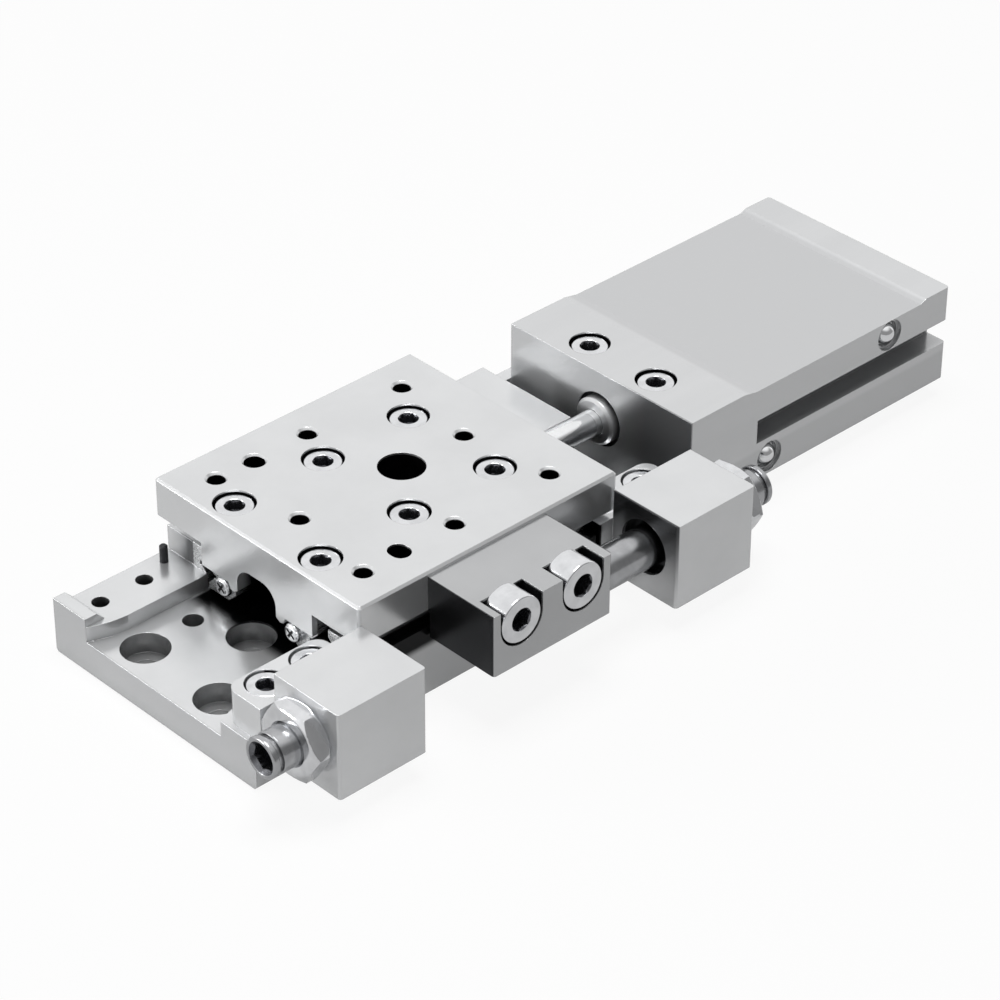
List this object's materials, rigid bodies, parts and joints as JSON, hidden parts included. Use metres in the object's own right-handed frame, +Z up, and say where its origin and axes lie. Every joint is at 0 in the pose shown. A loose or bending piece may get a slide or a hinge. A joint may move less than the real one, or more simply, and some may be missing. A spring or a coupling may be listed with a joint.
{
  "type": "pneumatic slide cylinder",
  "caption": "Low slide table on crossed-roller rails in a channel base, driven by a flat air cylinder behind it, with a threaded stop at each end of the stroke.",
  "frame": {"origin": "on the mounting face of the base, midway between its two front mounting holes", "axes": "+X from the table to the cylinder, +Y to the side away from the adjusters, +Z up; the table extends towards -X"},
  "size_m": [0.1413, 0.0547, 0.0201],
  "materials": {
    "anodised_aluminium": "fine bead-blasted, clear anodised",
    "stopper_steel": "matt, nickel plated",
    "ground_steel": "ground",
    "bright_screws": "bright, nickel plated",
    "roller_steel": "hard chromed and ground",
    "cage_brass": "rolled",
    "cover_aluminium": "turned",
    "spring_steel": "phosphated",
    "black_rubber": "moulded",
    "white_urethane": "moulded",
    "wear_resin": "moulded",
    "magnet": "sintered"
  },
  "bodies": {
    "base": {"base_rail": "anodised_aluminium", "outer_rail_near": "ground_steel", "outer_rail_far": "ground_steel", "preload_screws": "bright_screws", "rail_fixing_screws": "bright_screws", "front_bracket": "anodised_aluminium", "rear_bracket": "anodised_aluminium", "bracket_screws": "bright_screws", "stop_pins": "spring_steel", "lock_nut_front": "bright_screws", "lock_nut_rear": "bright_screws", "cylinder_body": "anodised_aluminium", "body_screws": "bright_screws", "port_plugs": "bright_screws", "rod_cover": "cover_aluminium", "rod_seal": "black_rubber", "cover_o_ring": "black_rubber", "front_retaining_ring": "spring_steel", "rear_retaining_ring": "spring_steel", "front_bumper": "black_rubber", "rear_bumper": "black_rubber", "head_cover": "cover_aluminium", "head_o_ring": "black_rubber"},
    "table": {"table": "anodised_aluminium", "table_screws": "bright_screws", "inner_rail_near": "ground_steel", "inner_rail_far": "ground_steel", "end_washers": "bright_screws", "end_screws": "bright_screws", "stopper_block": "stopper_steel", "stopper_screws": "bright_screws", "rod_bracket": "ground_steel", "rod_bracket_screws": "bright_screws", "floating_bush": "ground_steel", "piston_rod": "roller_steel", "piston": "cover_aluminium", "wear_ring": "wear_resin", "piston_magnet": "magnet", "piston_seal": "black_rubber"},
    "cage_near": {"roller_cage_near": "cage_brass", "rollers_near": "roller_steel"},
    "cage_far": {"roller_cage_far": "cage_brass", "rollers_far": "roller_steel"},
    "front_adjuster": {"adjuster_bolt_front": "bright_screws", "bumper_tip_front": "white_urethane"},
    "rear_adjuster": {"adjuster_bolt_rear": "bright_screws", "bumper_tip_rear": "white_urethane"}
  },
  "joints": [
    {"name": "table_slide", "type": "slide", "parent": "base", "child": "table", "axis": [-1, 0, 0], "range_m": [0, 0.01]},
    {"name": "near_cage_slide", "type": "slide", "parent": "base", "child": "cage_near", "axis": [-1, 0, 0], "range_m": [0, 0.005]},
    {"name": "far_cage_slide", "type": "slide", "parent": "base", "child": "cage_far", "axis": [-1, 0, 0], "range_m": [0, 0.005]},
    {"name": "front_stop_adjust", "type": "slide", "parent": "base", "child": "front_adjuster", "axis": [-1, 0, 0], "range_m": [0, 0.005]},
    {"name": "rear_stop_adjust", "type": "slide", "parent": "base", "child": "rear_adjuster", "axis": [1, 0, 0], "range_m": [0, 0.005]}
  ],
  "couplings": [
    {"joint": "near_cage_slide", "follows": "table_slide", "ratio": 0.5},
    {"joint": "far_cage_slide", "follows": "table_slide", "ratio": 0.5}
  ]
}
